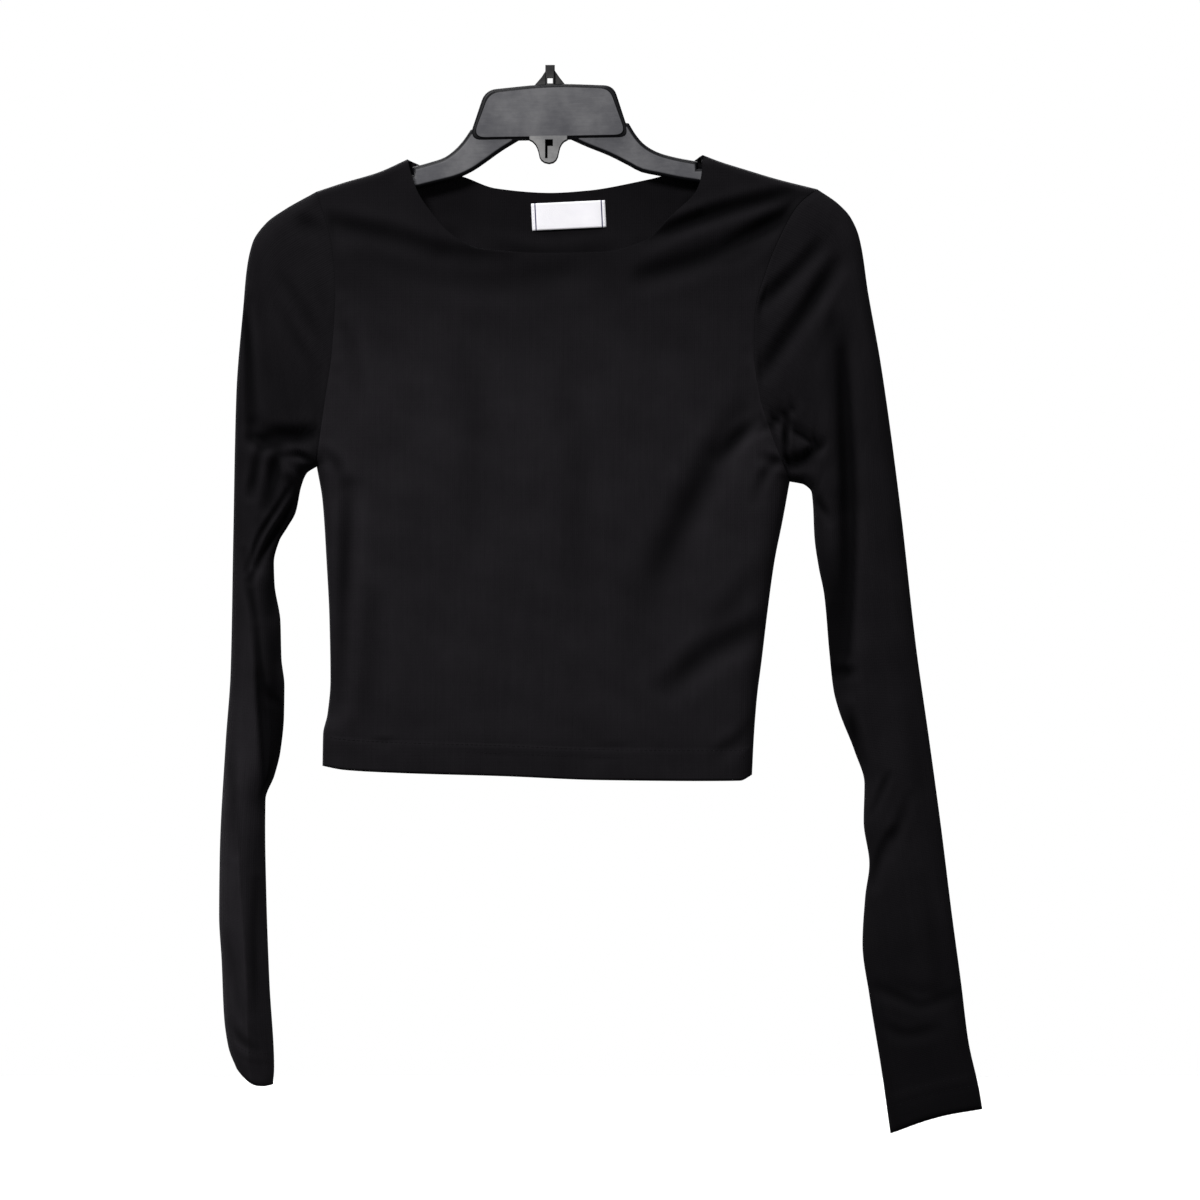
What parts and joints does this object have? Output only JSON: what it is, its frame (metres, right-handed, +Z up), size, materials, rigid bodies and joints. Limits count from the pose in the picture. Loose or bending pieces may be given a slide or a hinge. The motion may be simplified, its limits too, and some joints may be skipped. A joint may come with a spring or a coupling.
{
  "type": "crop top on a hanger",
  "caption": "Black long-sleeved crop top with a scoop neck and turned hem, hanging flat on a moulded plastic hanger.",
  "frame": {"origin": "middle of the small window in the peak of the hanger, where the hanger is held", "axes": "+X to the right seen from the front, +Y towards the back, +Z up; the front of the garment faces -Y"},
  "size_m": [0.5352, 0.0498, 0.7488],
  "materials": {
    "jersey": "matt fine jersey knit",
    "label": "smooth woven tape",
    "hanger_plastic": "satin moulded plastic"
  },
  "bodies": {
    "root": {"front_panel": "jersey", "back_panel": "jersey", "sleeve_right_front": "jersey", "sleeve_right_back": "jersey", "sleeve_left_upper_front": "jersey", "sleeve_left_upper_back": "jersey", "sleeve_left_middle_front": "jersey", "sleeve_left_middle_back": "jersey", "sleeve_left_lower_front": "jersey", "sleeve_left_lower_back": "jersey", "neck_label": "label", "hanger": "hanger_plastic"}
  },
  "joints": []
}
